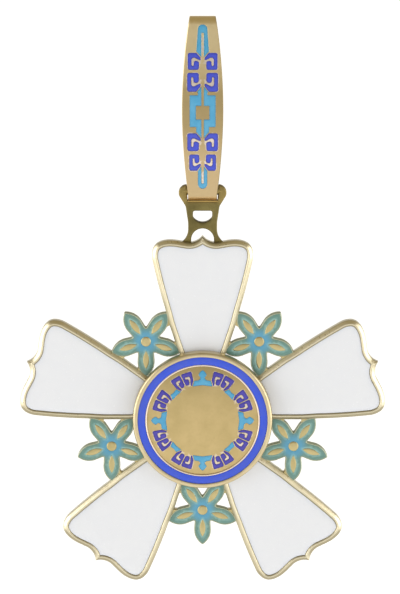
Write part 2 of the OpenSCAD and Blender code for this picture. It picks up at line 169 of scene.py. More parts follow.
def insetHalf(points, distance):  # the same for the right half of a symmetric outline, kept on its side
    made = []
    for i, p in enumerate(points):
        along = (points[min(i + 1, len(points) - 1)] - points[max(i - 1, 0)]).normalized()
        made.append(p + distance * Vector((-along.y, along.x)))
    for i in range(len(made) - 1, 0, -1):
        if made[i - 1].x > 0:
            a, b = made[i - 1], made[i]
            cross = a.lerp(b, a.x / (a.x - b.x)) if b.x < 0 else Vector((0, b.y))
            return made[:i] + [cross.copy() for _ in made[i:]]
    return made


def inside(point, outline):
    hit = False
    for a, b in sides(outline):
        if (a.y > point.y) != (b.y > point.y):
            if point.x < a.x + (point.y - a.y) / (b.y - a.y) * (b.x - a.x):
                hit = not hit
    return hit


# Meshes

samePoint = 1e-4  # points nearer than this are one
thinEdge = 1e-5
softAngle = 32  # edges that bend by more degrees than this look sharp


def cleaned(bm):
    bmesh.ops.remove_doubles(bm, verts=bm.verts, dist=samePoint)
    bmesh.ops.dissolve_degenerate(bm, edges=bm.edges, dist=thinEdge)
    bmesh.ops.recalc_face_normals(bm, faces=bm.faces)


def linked(name, data):
    made = bpy.data.objects.new(name, data)
    scene.collection.objects.link(made)
    return made


def placed(name, bm, mesh, place, sharp):  # the cleaned mesh as an object, its place in the mesh
    cleaned(bm)
    bm.to_mesh(mesh)
    bm.free()
    mesh.name = name
    mesh.transform(place)
    mesh.shade_smooth()
    mesh.set_sharp_from_angle(angle=radians(sharp))
    return linked(name, mesh)


def pieceFrom(name, bm, place, material, sharp=softAngle):
    mesh = bpy.data.meshes.new(name)
    mesh.materials.append(material)
    return placed(name, bm, mesh, place, sharp)


def settle(piece, body, slot, *nodes):
    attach(piece, body)
    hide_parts(*nodes)


def settleGilt(piece, node="star_frame"):
    settle(piece, "badge", "silver_gilt", node)


def vertexLayer(bm, name):
    return bm.verts.layers.float.get(name) or bm.verts.layers.float.new(name)


def addLoft(bm, rings, paintedShading=None, capStart=True, capEnd=True):  # closed rings of places, all as long
    layer = vertexLayer(bm, "paintedShading")
    rows = [[bm.verts.new(p) for p in ring] for ring in rings]
    for row, share in zip(rows, paintedShading or [0] * len(rows)):
        for v in row:
            v[layer] = share
    for a, b in zip(rows, rows[1:]):
        for i in range(len(a)):
            j = (i + 1) % len(a)
            bm.faces.new((a[i], a[j], b[j], b[i]))
    if capStart:
        bm.faces.new(rows[0])
    if capEnd:
        bm.faces.new(rows[-1])


def addFaces(bm, places, triangles):
    made = [bm.verts.new(place) for place in places]
    for t in triangles:
        bm.faces.new([made[i] for i in t])
    return made


def addSteps(bm, outline, lift, steps, capStart=True, capEnd=True):  # steps: inwards, depth, and the share of painted shading
    addLoft(bm, [[lift(p, depth) for p in inset(outline, inwards)] for inwards, depth, _ in steps],
            [paintedShading for _, _, paintedShading in steps], capStart, capEnd)


edgeShares = (0, 0.25, 0.5, 0.75)  # points of each side from which distances are measured
gridClear = 0.45  # how near an outline the grid comes, as a share of its step
rimClear = 0.8  # the same for the points along an outline, as a share of their distance from it


def pointTree(points):
    tree = KDTree(len(points))
    for i, p in enumerate(points):
        tree.insert((p.x, p.y, 0), i)
    tree.balance()
    return tree


def distanceTo(tree, p):
    return tree.find((p.x, p.y, 0))[2]


def gridInside(outline, holes, step, clear):  # points on a grid, kept clear of every outline
    tree = pointTree([a.lerp(b, share) for loop in [outline] + holes
                      for a, b in sides(loop) for share in edgeShares])
    low, high = (Vector((end(p.x for p in outline), end(p.y for p in outline))) for end in (min, max))
    made = []
    for row in range(int((high.y - low.y) / step) + 1):
        for column in range(int((high.x - low.x) / step) + 1):
            p = Vector((low.x + (column + 0.5 * (row % 2)) * step, low.y + (row + 0.5) * step))
            clearOf = distanceTo(tree, p) >= clear and not any(inside(p, h) for h in holes)
            if clearOf and inside(p, outline):
                made.append(p)
    return made, tree


def filled(outline, holes, extra):  # triangles between an outline and its holes
    points, loops = [], []
    for loop in [outline] + holes:
        loops.append(list(range(len(points), len(points) + len(loop))))
        points += loop
    points = points + extra
    corners, _, triangles, _, _, owners = delaunay_2d_cdt(points, [], loops, 1, 1e-7, True)
    return corners, [t for t, o in zip(triangles, owners) if set(o) == {0}]


plateLook = dict(cellDepth=0.35, chamfer=0.03, step=0.5, ring=0.13, ringClear=0.1, ringSpace=0.15,
                 paintedHighlight=0.8, chamferShading=0.35)


def spot(p):
    return round(p.x, 4), round(p.y, 4)


# A plate whose top is cut into cells for enamel. It gets a painted highlight, a paler colour, round the
# first cells and in some areas, and painted shading on the walls and edges of every cell. lift turns a plan
# point and a depth into a place.
def addPlate(bm, border, cells, highlightedCount, areas, lift):
    look = plateLook
    paintedHighlight = vertexLayer(bm, "paintedHighlight")
    mouths = [inset(cell, -look["chamfer"]) for cell in cells]
    extra, tree = gridInside(border, mouths, look["step"], look["step"] * gridClear)
    ring = [p for mouth in mouths[:highlightedCount] for p in inset(mouth, -look["ring"])
            if distanceTo(tree, p) > look["ringClear"]]
    extra = [p for p in extra if all((p - q).length > look["ringSpace"] for q in ring)]
    corners, triangles = filled(border, mouths, extra + ring)
    lines = {spot(p) for mouth in mouths[:highlightedCount] for p in mouth}
    hulls = [[mouth[i] for i in convex_hull_2d(mouth)] for mouth in mouths[:highlightedCount]] + areas
    for v, p in zip(addFaces(bm, [lift(p, 0) for p in corners], triangles), corners):
        v[paintedHighlight] = look["paintedHighlight"] if spot(p) in lines or any(inside(p, hull) for hull in hulls) else 0
    for cell in cells:
        addSteps(bm, cell, lift, [(-look["chamfer"], 0, 0), (0, look["chamfer"], look["chamferShading"]),
                                  (0, look["cellDepth"], 1)], False)


# A piece of enamel that lies in a cell, lower at its edge than in its middle. Marks are named shares, each
# worked out from a plan point.
def addEnamel(bm, outline, holes, lift, look, marks=()):
    edge = vertexLayer(bm, "edge")
    layers = [(vertexLayer(bm, name), mark) for name, mark in marks]
    shell = inset(outline, look["play"])
    gaps = [inset(h, -look["play"]) for h in holes]
    extra, tree = gridInside(shell, gaps, look["step"], look["step"] * gridClear)
    rim = look["rim"]
    ring = inset(shell, rim) + [p for gap in gaps for p in inset(gap, -rim)]
    ring = [p for p in ring if distanceTo(tree, p) > rim * rimClear]
    corners, triangles = filled(shell, gaps, extra + ring)

    near = [distanceTo(tree, p) for p in corners]
    tops = [lift(p, look["sink"] - look["crown"] * (1 - exp(-d / look["fall"])))
            for p, d in zip(corners, near)]
    floors = [lift(p, look["depth"]) for p in corners]
    for places in (tops, floors):
        for v, p, d in zip(addFaces(bm, places, triangles), corners, near):
            v[edge] = exp(-d / look["fade"])
            for layer, mark in layers:
                v[layer] = mark(p)
    for loop in [shell] + gaps:
        addLoft(bm, [[lift(p, look["sink"]) for p in loop], [lift(p, look["depth"]) for p in loop]],
                None, False, False)


# Geometry Nodes

def newTree(name, inputs):
    tree = bpy.data.node_groups.new(name, "GeometryNodeTree")
    sockets = {}
    for label, kind in [("Geometry", "Geometry")] + inputs + [("Material", "Material")]:
        sockets[label] = tree.interface.new_socket(label, in_out="INPUT", socket_type="NodeSocket" + kind)
    tree.interface.new_socket("Geometry", in_out="OUTPUT", socket_type="NodeSocketGeometry")
    return tree, sockets, tree.nodes.new("NodeGroupInput").outputs, tree.links.new, maker(tree)


def maker(tree):
    return lambda kind: tree.nodes.new("GeometryNode" + kind)


def endTree(tree, start, made):  # realised, and painted with the material
    link, new = tree.links.new, maker(tree)
    real, paint = new("RealizeInstances"), new("SetMaterial")
    link(made, real.inputs[0])
    link(real.outputs[0], paint.inputs["Geometry"])
    link(start["Material"], paint.inputs["Material"])
    link(paint.outputs[0], tree.nodes.new("NodeGroupOutput").inputs[0])


def mathNode(tree, operation, a, b):
    node = tree.nodes.new("ShaderNodeMath")
    node.operation = operation
    for socket, value in zip(node.inputs, (a, b)):
        if isinstance(value, (int, float)):
            socket.default_value = value
        else:
            tree.links.new(value, socket)
    return node.outputs[0]


def roundTree():  # copies the mesh round the middle of the plan, clockwise from the top
    tree, sockets, start, link, new = newTree("copiesRoundMiddle", [
        ("Copies", "Int"), ("Step", "Float"), ("First", "Float")])
    points, index, copies = new("Points"), new("InputIndex"), new("InstanceOnPoints")
    turn = tree.nodes.new("ShaderNodeCombineXYZ")
    link(start["Copies"], points.inputs["Count"])
    way = mathNode(tree, "MULTIPLY", index.outputs[0], start["Step"])
    angle = mathNode(tree, "ADD", way, start["First"])
    link(mathNode(tree, "MULTIPLY", angle, -pi / 180), turn.inputs["Z"])
    link(points.outputs[0], copies.inputs["Points"])
    link(start["Geometry"], copies.inputs["Instance"])
    link(turn.outputs[0], copies.inputs["Rotation"])
    endTree(tree, start, copies.outputs[0])
    return tree, sockets


def sweepTree():  # lays a profile, given as radius and height, round a circle
    tree, sockets, start, link, new = newTree("profileRoundCircle", [
        ("Profile", "Object"), ("Radius", "Float"), ("Steps", "Int")])
    path, upright, sweep = new("CurvePrimitiveCircle"), new("SetCurveNormal"), new("CurveToMesh")
    profile, line = new("ObjectInfo"), new("MeshToCurve")
    upright.mode = "Z_UP"
    link(start["Steps"], path.inputs["Resolution"])
    link(start["Radius"], path.inputs["Radius"])
    link(path.outputs["Curve"], upright.inputs["Curve"])
    link(upright.outputs[0], sweep.inputs["Curve"])
    link(start["Profile"], profile.inputs["Object"])
    link(profile.outputs["Geometry"], line.inputs[0])
    link(line.outputs[0], sweep.inputs["Profile Curve"])
    endTree(tree, start, sweep.outputs[0])
    return tree, sockets


copiesRound = roundTree()
profileRound = sweepTree()


def builtBy(treeAndSockets, holder, values, name, sharp):  # what the tree makes, as a piece on the star
    tree, sockets = treeAndSockets
    modifier = holder.modifiers.new("build", "NODES")
    modifier.node_group = tree
    for label, value in values.items():
        modifier[sockets[label].identifier] = value
    depsgraph = bpy.context.evaluated_depsgraph_get()
    mesh = bpy.data.meshes.new_from_object(holder.evaluated_get(depsgraph))
    holder.modifiers.clear()
    bpy.data.objects.remove(holder)
    bm = bmesh.new()
    bm.from_mesh(mesh)
    return placed(name, bm, mesh, starPlace, sharp)


def roundMiddle(name, bm, copies, first, material, sharp=softAngle):
    holder = pieceFrom(name + "One", bm, Matrix.Identity(4), material)
    values = {"Copies": copies, "Step": 360 / copies, "First": float(first), "Material": material}
    return builtBy(copiesRound, holder, values, name, sharp)


def turnedOnLathe(name, profile, radius, steps, material, sharp=softAngle):  # profile of radius and height
    mesh = bpy.data.meshes.new(name + "Profile")
    count = len(profile)
    rows = [(r - radius, -h, 0) for r, h in profile]
    mesh.from_pydata(rows, [(i, (i + 1) % count) for i in range(count)], [])
    profileHolder = linked(name + "Profile", mesh)
    holder = linked(name + "Path", bpy.data.meshes.new(name + "Path"))
    values = {"Profile": profileHolder, "Radius": float(radius), "Steps": steps, "Material": material}
    piece = builtBy(profileRound, holder, values, name, sharp)
    bpy.data.objects.remove(profileHolder)
    return piece


# Materials

def newMaterial(name):
    material = bpy.data.materials.new(name)
    material.use_nodes = True
    tree = material.node_tree
    place = tree.nodes.new("ShaderNodeTexCoord")
    return material, tree, tree.nodes["Principled BSDF"].inputs, place.outputs["Object"]


def newNode(tree, kind, values):
    node = tree.nodes.new("ShaderNode" + kind)
    setAll(node.inputs, values)
    return node


def setAll(inputs, values):
    for name, value in values.items():
        inputs[name].default_value = value


def noise(tree, place, size, detail, stretch=(1, 1, 1)):
    mapping = newNode(tree, "Mapping", {"Scale": Vector(stretch) / (size * mm)})
    texture = newNode(tree, "TexNoise", {"Scale": 1, "Detail": detail})
    tree.links.new(place, mapping.inputs["Vector"])
    tree.links.new(mapping.outputs[0], texture.inputs["Vector"])
    return texture.outputs[0]


def ramp(tree, value, low, high, fromLow, fromHigh):
    limits = {"To Min": low, "To Max": high, "From Min": fromLow, "From Max": fromHigh}
    node = newNode(tree, "MapRange", limits)
    tree.links.new(value, node.inputs["Value"])
    return node.outputs[0]


def mixed(tree, factor, a, b):  # the colour sockets of this node are inputs 6 and 7 and output 2
    node = tree.nodes.new("ShaderNodeMix")
    node.data_type = "RGBA"
    tree.links.new(factor, node.inputs["Factor"])
    for socket, value in ((node.inputs[6], a), (node.inputs[7], b)):
        if isinstance(value, tuple):
            socket.default_value = (*value, 1)
        else:
            tree.links.new(value, socket)
    return node.outputs[2]


def attribute(tree, name):
    node = tree.nodes.new("ShaderNodeAttribute")
    node.attribute_name = name
    return node.outputs["Fac"]


def parted(tree, place):
    split = newNode(tree, "SeparateXYZ", {})
    tree.links.new(place, split.inputs[0])
    return split.outputs


def bumped(tree, shader, height, distance):
    node = newNode(tree, "Bump", {"Distance": distance * mm, "Strength": 1})
    tree.links.new(height, node.inputs["Height"])
    tree.links.new(node.outputs[0], shader["Normal"])


giltLook = {  # tones: colour, share, and the heights at which it starts and is full; they are painted reflections, highlights and shade that change with height
    "star": dict(bright=(0.74, 0.68, 0.50), deep=(0.70, 0.63, 0.445), paintedShading=(0.16, 0.13, 0.06), rough=0.32),
    "flower": dict(bright=(0.54, 0.455, 0.235), deep=(0.47, 0.39, 0.185), paintedShading=(0.42, 0.48, 0.38),
                   rough=0.34),
    "wire": dict(bright=(0.90, 0.78, 0.66), deep=(0.84, 0.70, 0.58), paintedShading=(0.4, 0.3, 0.2), rough=0.30),
    "medallion": dict(bright=(0.62, 0.525, 0.33), deep=(0.56, 0.465, 0.28), paintedShading=(0.22, 0.16, 0.08),
                      rough=0.34),
    # Painted reflection: the field is darker towards its top. Its shading colour is paler, a painted
    # highlight on the cell edges.
    "field": dict(bright=(0.54, 0.415, 0.20), deep=(0.48, 0.37, 0.17), paintedShading=(0.62, 0.52, 0.42), rough=0.34,
                  highlightTone=(0.74, 0.66, 0.58), tones=[((0.32, 0.245, 0.11), 0.75, starZ + 4, starZ + 9.5)]),
    # Painted reflections and shade on the bowed band: bright near the top, darker in the middle, lighter
    # again lower down, orange at the bottom bend.
    "loop": dict(bright=(0.60, 0.46, 0.22), deep=(0.52, 0.39, 0.18), paintedShading=(0.24, 0.19, 0.10), rough=0.34,
                 highlightTone=(0.74, 0.66, 0.62),
                 tones=[((0.35, 0.27, 0.135), 0.8, -6, -13), ((0.50, 0.38, 0.212), 1.0, -16.5, -22),
                        ((0.84, 0.695, 0.41), 0.9, -11, -2), ((0.66, 0.38, 0.13), 0.9, -28.1, -28.8)]),
    # Painted highlight: the link turns lighter and more orange just under the loop.
    "link": dict(bright=(0.20, 0.165, 0.063), deep=(0.145, 0.118, 0.043), paintedShading=(0.035, 0.028, 0.010),
                 rough=0.36, tones=[((0.38, 0.28, 0.10), 0.6, hingeZ - 2.5, hingeZ - 1.7)]),
    # Painted highlight: the lip under the loop is gilt much lighter and more orange than the link.
    "lip": dict(bright=(0.46, 0.31, 0.105), deep=(0.40, 0.27, 0.09), paintedShading=(0.035, 0.028, 0.010),
                rough=0.36),
}
giltGrain = dict(clouds=3.0, specks=0.5, speckShare=0.35, speckRange=(0.55, 0.8), scratches=0.12,
                 scratchStretch=(1, 1, 0.12), smoother=0.06, rougher=0.08, roughRange=(0.3, 0.7),
                 shadingRough=0.25, speckBump=1.5, bump=0.006)
cloudRange = (0.35, 0.65)  # the part of the noise over which one colour turns into the other


def giltMaterial(name, look):
    g = giltGrain
    material, tree, shader, place = newMaterial(name)
    clouds = ramp(tree, noise(tree, place, g["clouds"], 4), 0, 1, *cloudRange)
    specks = noise(tree, place, g["specks"], 2)
    scratches = noise(tree, place, g["scratches"], 2, g["scratchStretch"])
    colour = mixed(tree, clouds, look["bright"], look["deep"])
    colour = mixed(tree, ramp(tree, specks, 0, g["speckShare"], *g["speckRange"]), colour, look["deep"])
    for tone, share, start, full in look.get("tones", []):
        height = parted(tree, place)["Z"]
        colour = mixed(tree, ramp(tree, height, 0, share, start * mm, full * mm), colour, tone)
    if "highlightTone" in look:  # painted highlight: paler metal round the scroll cells and in the given areas
        colour = mixed(tree, attribute(tree, "paintedHighlight"), colour, look["highlightTone"])
    # Painted shading: marked vertices take the look's shading colour. It is darker in cell recesses, on rim
    # slopes and on down-facing edges, and lighter on the field's cell edges.
    paintedShading = attribute(tree, "paintedShading")
    tree.links.new(mixed(tree, paintedShading, colour, look["paintedShading"]), shader["Base Color"])
    smooth, worn = look["rough"] - g["smoother"], look["rough"] + g["rougher"]
    rough = ramp(tree, specks, smooth, worn, *g["roughRange"])
    rough = mathNode(tree, "ADD", rough, mathNode(tree, "MULTIPLY", paintedShading, g["shadingRough"]))
    tree.links.new(rough, shader["Roughness"])
    shader["Metallic"].default_value = 1
    grain = mathNode(tree, "ADD", scratches, mathNode(tree, "MULTIPLY", specks, g["speckBump"]))
    bumped(tree, shader, grain, g["bump"])
    return material


deepEnamel = dict(rough=0.14, coat=0.15, gloss=0.3)
enamelLook = {
    "white": dict(body=(0.705, 0.725, 0.765), cloud=(0.695, 0.715, 0.76), edge=(0.67, 0.71, 0.79),
                  rough=0.18, coat=0.3, gloss=0.5),
    "green": dict(body=(0.095, 0.225, 0.195), cloud=(0.115, 0.25, 0.235), edge=(0.18, 0.27, 0.20),
                  rough=0.14, coat=0.3, gloss=0.4),
    "blue": dict(deepEnamel, body=(0.03, 0.08, 0.63), cloud=(0.045, 0.09, 0.58), edge=(0.02, 0.03, 0.32)),
    "violet": dict(deepEnamel, body=(0.055, 0.045, 0.36), cloud=(0.075, 0.06, 0.40),
                   edge=(0.03, 0.025, 0.20)),
    "loopBlue": dict(deepEnamel, body=(0.045, 0.07, 0.58), cloud=(0.06, 0.085, 0.52),
                     edge=(0.025, 0.03, 0.24)),
    "turquoise": dict(body=(0.06, 0.32, 0.55), cloud=(0.09, 0.36, 0.58), edge=(0.05, 0.22, 0.38),
                      rough=0.14, coat=0.2, gloss=0.35),
}
enamelGrain = dict(clouds=1.6, pits=0.35, pitRough=0.12, pitRange=(0.45, 0.8), waves=0.9, bump=0.012,
                   ior=1.54, coatRough=0.06)
# The green enamel is bluer in the middle of a flower and paler round each leaf
petalTones = {"middle": (0.08, 0.30, 0.455), "leaf": (0.27, 0.48, 0.45)}


def enamelMaterial(name, look, tones):
    e = enamelGrain
    material, tree, shader, place = newMaterial(name)
    clouds = ramp(tree, noise(tree, place, e["clouds"], 3), 0, 1, *cloudRange)
    colour = mixed(tree, clouds, look["body"], look["cloud"])
    for mark, tone in {"edge": look["edge"], **tones}.items():
        colour = mixed(tree, attribute(tree, mark), colour, tone)
    tree.links.new(colour, shader["Base Color"])
    pits = noise(tree, place, e["pits"], 1)
    rough = ramp(tree, pits, look["rough"], look["rough"] + e["pitRough"], *e["pitRange"])
    tree.links.new(rough, shader["Roughness"])
    setAll(shader, {"IOR": e["ior"], "Coat Weight": look["coat"], "Specular IOR Level": look["gloss"],
                    "Coat Roughness": e["coatRough"]})
    bumped(tree, shader, noise(tree, place, e["waves"], 2), e["bump"])
    return material


gilt = {name: giltMaterial(name + "Gilt", look) for name, look in giltLook.items()}
enamel = {name: enamelMaterial(name + "Enamel", look, petalTones if name == "green" else {})
          for name, look in enamelLook.items()}
print("materials made")


# Arms of the star

armShape = dict(
    side=[(3.44, 9.95), (3.95, 11.1), (4.68, 13.3), (5.42, 15.6), (6.05, 18.0), (6.60, 19.9), (7.38, 22.9),
          (7.98, 25.5), (8.23, 26.9), (8.08, 28.1), (7.62, 28.85), (7.0, 29.26), (6.25, 29.5), (5.26, 29.6),
          (4.11, 29.5), (3.05, 29.3)],
    hollow=((2.2, 31.95), 2.75, -72, -143, 16),  # in the end: centre, radius, degrees from and to, steps
    rim=[  # inwards, height, painted shade: a dark line on the inner slope by the enamel, and a little on the outer wall
        (0.12, 0.02, 0), (0.03, 0.11, 0), (0.0, 0.2, 0), (0.0, 1.22, 0), (0.01, 1.36, 0.1),
        (0.05, 1.46, 0.2), (0.12, 1.55, 0), (0.25, 1.68, 0), (0.38, 1.81, 0), (0.50, 1.91, 0),
        (0.58, 1.95, 0), (0.66, 1.95, 0), (0.73, 1.93, 0), (0.79, 1.90, 0.2), (0.85, 1.85, 0.65),
        (0.91, 1.80, 0.75), (0.95, 1.74, 0.8), (0.95, 1.0, 1)],
    underShade=0.6, underStart=0.1, underFade=0.25,  # painted shade: rims darker where they face down
    sideSteps=5, sharp=40, shortest=0.02, enamelTop=1.74)
armEnamel = dict(play=0.01, step=0.7, rim=0.1, fade=0.16, fall=0.5, crown=0.10, sink=0.0, depth=0.7)


def armRing(inwards):
    a = armShape
    side = curveThrough(vectors(*a["side"]), a["sideSteps"])
    hollow = arc(*a["hollow"])
    hollow[-1].x = 0
    half = insetHalf(side[:-1] + hollow, inwards)
    return half + mirrored(half[:-1])


def onStar(steps):  # turned clockwise by steps from one arm to the next
    return starPlace @ Matrix.Rotation(radians(-steps * armStep), 4, "Z")


def makeArms():
    shape = armShape
    bm = bmesh.new()
    rings = [[(p.x, p.y, height) for p in armRing(inwards)] for inwards, height, _ in shape["rim"]]
    addLoft(bm, rings, [paintedShading for _, _, paintedShading in shape["rim"]])
    arms = roundMiddle("starArms", bm, armCount, 0, gilt["star"], shape["sharp"])
    # Painted shade: vertices whose normals face down get a darker colour, standing in for the light they
    # miss.
    for vertex, paintedShading in zip(arms.data.vertices, arms.data.attributes["paintedShading"].data):
        under = max(0.0, min(1.0, (-vertex.normal.z - shape["underStart"]) / shape["underFade"]))
        paintedShading.value = max(paintedShading.value, shape["underShade"] * under)
    settleGilt(arms)
    edge = armRing(shape["rim"][-1][0])
    outline = [edge[0]]
    for p in edge[1:]:
        if (p - outline[-1]).length > shape["shortest"]:
            outline.append(p)
    for k in range(armCount):
        bm = bmesh.new()
        addEnamel(bm, outline, [], lambda p, depth: (p.x, p.y, shape["enamelTop"] - depth), armEnamel)
        piece = pieceFrom("armEnamel" + str(k + 1), bm, onStar(k), enamel["white"])
        settle(piece, "badge", "white_enamel", "arm_enamel_" + str(k + 1))


makeArms()
print("arms made")


# Hub, flowers and their solder

hubShape = dict(radius=10.9, height=2.0, hole=2.05, chamfer=0.1, steps=160)
flowerShape = dict(
    length=5.95, width=2.8, mid=3.4, rootWidth=2.3, distance=15.778, height=1.5, bed=0.17, dot=0.8,
    leafStart=1.6, leafLength=2.95, leafWidth=0.95, leafFade=0.3, middleEnd=2.35, soft=0.3, side=0.35,
    leafSide=0.3, dotSides=28, sharp=40,
    plate=[  # inwards, depth, painted shade on the walls
        (0.06, 1.46, 0), (0.0, 1.36, 0), (0.0, 1.1, 0.9), (0.0, 0.10, 0.9), (0.03, 0.03, 0.9),
        (0.08, 0.0, 0.8), (0.17, 0.02, 0.9), (0.17, 0.35, 1)],
    leaf=[(0.0, 0.35, 1), (0.0, 0.02, 0.3), (0.04, -0.01, 0), (0.12, -0.03, 0)],
    dotSteps=[(0.0, 0.35, 1), (0.0, 0.02, 0.3), (0.05, -0.02, 0), (0.14, -0.05, 0), (0.30, -0.07, 0)])
webShape = dict(  # solder between the tips of the petals and the arms
    start=0.1, length=2.1, width=1.25, sunk=0.4, side=20,
    steps=[(0.03, 1.45, 0), (0.0, 1.38, 0), (0.0, 0.18, 0), (0.06, 0.06, 0)])
flowerEnamel = dict(play=0.01, step=0.4, rim=0.07, fade=0.08, fall=0.14, crown=0.05, sink=0.04, depth=0.34)


def roundCopies(points):
    return [q for k in range(armCount) for q in turned(points, k * armStep)]


def flowerOutline():
    f = flowerShape
    mid, half, root = f["mid"], f["width"] / 2, f["rootWidth"] / 2
    out = f["length"] - mid
    radius = (out * out + half * half) / f["width"]
    spread = tan(radians(armStep / 2))
    notchY = root / (spread - (half - root) / mid)
    tip = arc((half - radius, mid), radius, 0, degrees(asin(out / radius)), 9)
    petal = vectors((notchY * spread, notchY)) + tip
    petal[-1].x = 0
    return roundCopies(petal + mirrored(petal)[1:-1])


def leafOutline():
    long, wide = flowerShape["leafLength"], flowerShape["leafWidth"]
    radius = (long ** 2 / 4 + wide ** 2 / 4) / wide
    sweep = degrees(asin(long / 2 / radius))
    side = arc((wide / 2 - radius, flowerShape["leafStart"] + long / 2), radius, -sweep, sweep, 8)
    return side[:-1] + mirrored(side)[:-1]


def webOutline(k, side):  # from the tip of the petal k steps round to the arm on one side
    w = webShape
    along = polar(k * armStep, 1)
    tip = along * (flowerShape["length"] - w["start"])
    root, sunk = tip - along * w["length"], Vector((w["sunk"], 0))
    way = polar(w["side"], w["length"])
    if k == 1:  # fills the corner between the petal's inner side and the arm
        web = [root, tip, tip + sunk, tip - way + sunk, root + Vector((along.y, -along.x)) * w["width"]]
    else:
        web = [root, tip, tip + sunk, tip + way + sunk]
    return anticlockwise([Vector((side * q.x, q.y)) for q in web])


def makeFlowers():
    f = flowerShape
    outline = dense(softened(flowerOutline(), f["soft"], 2), f["side"])
    leaves = [turned(dense(leafOutline(), f["leafSide"]), k * armStep) for k in range(armCount)]
    dot = circle(f["dot"], f["dotSides"])

    def lift(p, depth):
        return (p.x, p.y + f["distance"], f["height"] - depth)

    bm = bmesh.new()
    addSteps(bm, outline, lift, f["plate"])
    for leaf in leaves:
        addSteps(bm, leaf, lift, f["leaf"], False)
    addSteps(bm, dot, lift, f["dotSteps"], False)
    for side in (1, -1):
        for k in (1, 2):
            addSteps(bm, webOutline(k, side), lift, webShape["steps"])
    metal = roundMiddle("flowerPlates", bm, armCount, armStep / 2, gilt["flower"], f["sharp"])
    settleGilt(metal)

    leafTree = pointTree([q for leaf in leaves for q in leaf])
    marks = [("leaf", lambda p: max(0.0, 1 - distanceTo(leafTree, p) / f["leafFade"])),
             ("middle", lambda p: max(0.0, min(1.0, f["middleEnd"] - p.length)))]
    for k in range(armCount):
        bm = bmesh.new()
        addEnamel(bm, inset(outline, f["bed"]), leaves + [dot], lift, flowerEnamel, marks)
        piece = pieceFrom("flowerEnamel" + str(k + 1), bm, onStar(k + 0.5), enamel["green"])
        settle(piece, "badge", "green_enamel", "flower_enamel_" + str(k + 1))


def makeHub():
    h = hubShape
    profile = [(h["hole"], 0.0), (h["radius"] - h["chamfer"], 0.0), (h["radius"], h["chamfer"]),
               (h["radius"], h["height"]), (h["hole"], h["height"])]
    settleGilt(turnedOnLathe("starHub", profile, h["hole"], h["steps"], gilt["star"]))


makeFlowers()
makeHub()
print("flowers made")


# Medallion

medalShape = dict(
    radius=11.45, rimWidth=0.8, ringWidth=1.25, wireWidth=0.3, top=3.9, cell=0.7, floor=0.2, fieldDrop=0.35,
    dome=0.5, ornIn=6.0, shortBar=0.28, ornOut=8.47, near=12.5, wide=12.5, gap=1.1, seat=2.02, chamfer=0.08,
    rimOutside=[(0.0, 0.50), (0.03, 0.34), (0.10, 0.18), (0.20, 0.08), (0.34, 0.02), (0.50, 0.0)],
    rimInside=[(0.10, 0.01), (0.03, 0.05), (0.0, 0.14)],
    wireTop=[(0.0, 0.20), (0.05, 0.12), (0.14, 0.10), (0.24, 0.14), (0.30, 0.30)], wireSunk=0.1,
    play=0.01, steps=200, borderSteps=180, sharp=28)
postShape = dict(
    radius=2.0, sunk=0.5, head=3.2, headThick=0.72, steps=96,
    headEdge=[(0.15, -0.02), (0.0, -0.12), (0.05, -0.28), (0.3, -0.46), (1.0, -0.63), (2.0, -0.70)])
fieldEnamel = dict(play=0.01, step=0.22, rim=0.05, fade=0.07, fall=0.10, crown=0.05, sink=0.03, depth=0.33,
                   side=0.16)
ringEnamel = dict(play=0.02, sink=0.1, crown=0.06, steps=8)
cellCorner = 0.12  # how far the corners of a small cell are rounded
cellSide = 0.3

# One squared scroll: shares of its width from its tail, and of its height
scrollShape = [
    (0.00, 0.36), (0.00, 0.92), (0.08, 1.00), (0.92, 1.00), (1.00, 0.92), (1.00, 0.27), (0.92, 0.18),
    (0.57, 0.17), (0.49, 0.25), (0.46, 0.44), (0.52, 0.56), (0.76, 0.58), (0.77, 0.68), (0.70, 0.71),
    (0.38, 0.71), (0.29, 0.64), (0.28, 0.50), (0.42, 0.17), (0.41, 0.05), (0.30, 0.05)]
# Right half of the upright ornament: degrees and shares of its height
uprightShape = [(5.2, 0.34), (3.2, 0.44), (3.0, 0.52), (5.2, 0.70), (2.6, 0.90), (0.0, 1.00)]
tailWall = 0.12  # metal between a scroll's tail and the turquoise beside it


def cellOutlines(outlines):
    return [dense(softened(outline, cellCorner), cellSide) for outline in outlines]


def enamels(outlines, lift, look):
    bm = bmesh.new()
    for outline in outlines:
        addEnamel(bm, dense(softened(outline, cellCorner), look["side"]), [], lift, look)
    return bm


def ornRadius(share):
    return medalShape["ornIn"] + share * (medalShape["ornOut"] - medalShape["ornIn"])


def fieldScroll(start, wide, side):
    return anticlockwise([polar(side * (start + across * wide), ornRadius(out))
                          for across, out in scrollShape])


def tailEdge(near):  # the two ends of a scroll's tail line, moved one wall towards the middle line
    a, b = (polar(near + across * medalShape["wide"], ornRadius(out))
            for across, out in (scrollShape[0], scrollShape[-1]))
    n = Vector((b.y - a.y, a.x - b.x)).normalized()
    if n.x > 0:
        n = -n
    return a + n * tailWall, b + n * tailWall


def fieldFoot(near, upper):
    a, b = tailEdge(near)
    k = (a.length - medalShape["ornIn"]) / (a.length - b.length)
    half = [polar(0, medalShape["ornIn"]), a + k * (b - a), a] + upper[:-1] + [Vector((0, upper[-1].y))]
    return anticlockwise(half + mirrored(half)[1:-1])


def fieldCells():
    m = medalShape
    pairEnd = m["near"] + 2 * m["wide"] + m["gap"]
    scrolls, ornaments = [], []
    for angle in (0, 90, 180, 270):
        for side in (1, -1):
            for scroll in (fieldScroll(m["near"], m["wide"], side), fieldScroll(pairEnd, -m["wide"], side)):
                scrolls.append(turned(scroll, angle))
        upright = fieldFoot(m["near"], [polar(d, ornRadius(s)) for d, s in uprightShape])
        bar = fieldFoot(45 - pairEnd, [polar(0, ornRadius(m["shortBar"]))])
        ornaments += [turned(upright, angle), turned(bar, angle + 45)]
    return scrolls, ornaments


